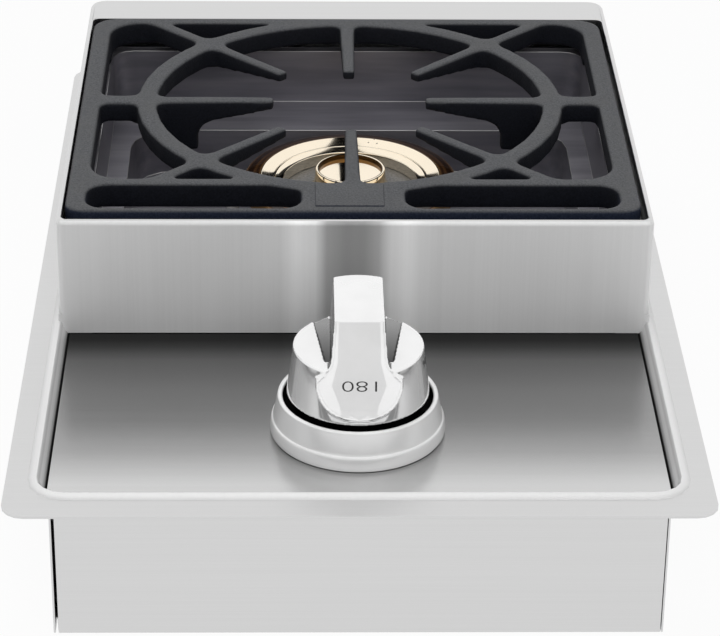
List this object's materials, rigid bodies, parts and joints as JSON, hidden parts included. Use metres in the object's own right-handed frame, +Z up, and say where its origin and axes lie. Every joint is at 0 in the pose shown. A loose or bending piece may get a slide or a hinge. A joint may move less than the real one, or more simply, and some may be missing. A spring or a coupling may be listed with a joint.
{
  "type": "built_in_side_burner",
  "caption": "Built-in gas side burner for an outdoor kitchen: steel drop-in frame, raised burner box, cast iron grate, brass burner caps and a chrome control knob.",
  "frame": {"origin": "Middle of the flange in plan, on the underside of the lower box.", "axes": "+X to the right seen from the front, +Y to the rear, +Z up. The knob is at the front."},
  "size_m": [0.333, 0.517, 0.1368],
  "materials": {
    "brushed_steel": "brushed",
    "liner_steel": "bright",
    "plated_steel": "satin",
    "cast_iron": "matt porcelain",
    "polished_brass": "polished",
    "cast_aluminium": "as cast",
    "chrome": "polished",
    "black_plastic": "satin",
    "ceramic": "glazed"
  },
  "bodies": {
    "housing": {"bezel_spacer": "black_plastic", "bonnet_screw_1": "plated_steel", "bonnet_screw_2": "plated_steel", "bottom_pan": "plated_steel", "burner_base": "cast_aluminium", "burner_bracket": "plated_steel", "burner_liner": "liner_steel", "electrode_bracket": "plated_steel", "electrode_ceramic": "ceramic", "electrode_tip": "plated_steel", "feed_tube": "cast_aluminium", "front_panel": "brushed_steel", "gas_inlet_fitting": "polished_brass", "gas_valve_body": "cast_aluminium", "heat_shield": "plated_steel", "igniter_lead": "black_plastic", "inlet_locknut": "polished_brass", "inlet_pipe": "cast_aluminium", "knob_bezel": "chrome", "left_grate_ledge": "plated_steel", "left_side_panel": "brushed_steel", "mixing_tube": "cast_aluminium", "orifice_holder": "polished_brass", "pan_screw_1": "plated_steel", "pan_screw_2": "plated_steel", "pan_screw_3": "plated_steel", "pan_screw_4": "plated_steel", "pan_screw_5": "plated_steel", "pan_screw_6": "plated_steel", "raised_surround": "brushed_steel", "rear_panel": "brushed_steel", "right_grate_ledge": "plated_steel", "right_side_panel": "brushed_steel", "spark_module": "black_plastic", "top_frame": "brushed_steel", "valve_bonnet": "cast_aluminium", "valve_bracket": "plated_steel", "valve_locknut": "polished_brass"},
    "valve_rotor": {"valve_plug": "polished_brass"},
    "knob": {"knob": "chrome", "valve_stem": "polished_brass"},
    "grate": {"grate": "cast_iron"},
    "ring_cap": {"burner_ring_cap": "polished_brass"},
    "center_cap": {"burner_center_cap": "polished_brass"},
    "air_shutter": {"air_shutter": "plated_steel", "shutter_screw": "plated_steel"}
  },
  "joints": [
    {"name": "valve_turn", "type": "hinge", "parent": "housing", "child": "valve_rotor", "pos_m": [0, -0.1685, 0.04], "axis": [0, 0, 1], "range_deg": [0, 180]},
    {"name": "knob_push", "type": "slide", "parent": "valve_rotor", "child": "knob", "axis": [0, 0, -1], "range_m": [0, 0.003], "stiffness_N_per_m": 1500, "springref_m": -0.003},
    {"name": "grate_lift", "type": "slide", "parent": "housing", "child": "grate", "axis": [0, 0, 1], "range_m": [0, 0.06]},
    {"name": "ring_cap_lift", "type": "slide", "parent": "housing", "child": "ring_cap", "axis": [0, 0, 1], "range_m": [0, 0.02]},
    {"name": "center_cap_lift", "type": "slide", "parent": "housing", "child": "center_cap", "axis": [0, 0, 1], "range_m": [0, 0.02]},
    {"name": "shutter_turn", "type": "hinge", "parent": "housing", "child": "air_shutter", "pos_m": [0, -0.026, 0.0345], "axis": [0, 1, 0], "range_deg": [-30, 30]}
  ]
}
